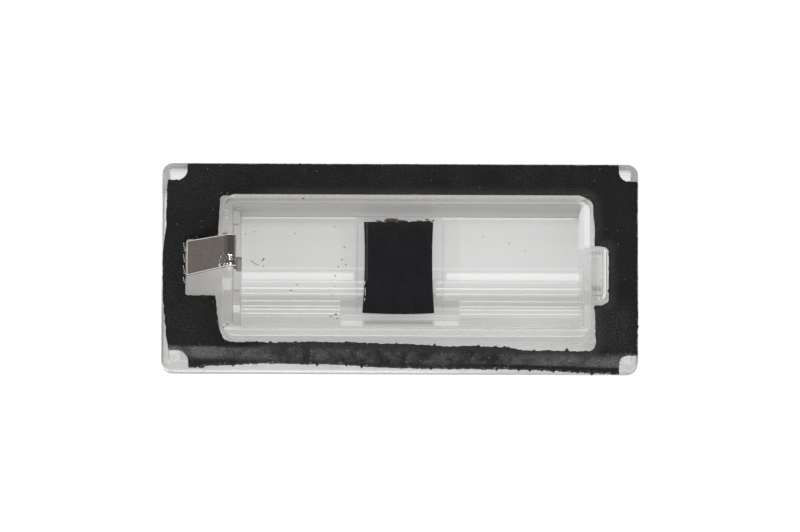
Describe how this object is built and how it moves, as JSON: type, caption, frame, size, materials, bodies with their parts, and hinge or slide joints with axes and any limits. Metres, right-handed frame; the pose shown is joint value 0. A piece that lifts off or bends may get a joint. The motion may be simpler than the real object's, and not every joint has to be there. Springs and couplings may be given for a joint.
{
  "type": "number plate lamp",
  "caption": "Clear rectangular number plate lamp lens with an open box behind it, a black foam gasket, a steel spring clip at one end, a hook at the other and a black film across the window.",
  "frame": {"origin": "centre of the bounding box on the plane of the outer face, on which the lens lies", "axes": "+X along the lens from the spring clip to the hook, +Y across it away from the prisms, +Z from the outer face to the open back"},
  "size_m": [0.087, 0.0382, 0.0155],
  "materials": {
    "clear_plastic": "clear moulded plastic, polished, lightly dusty",
    "gasket_foam": "matt black cellular foam with ragged cut edges",
    "clip_steel": "bare spring steel strip, satin",
    "mask_film": "black satin film"
  },
  "bodies": {
    "root": {"lens": "clear_plastic", "gasket": "gasket_foam", "spring_clip": "clip_steel", "light_mask": "mask_film"}
  },
  "joints": []
}
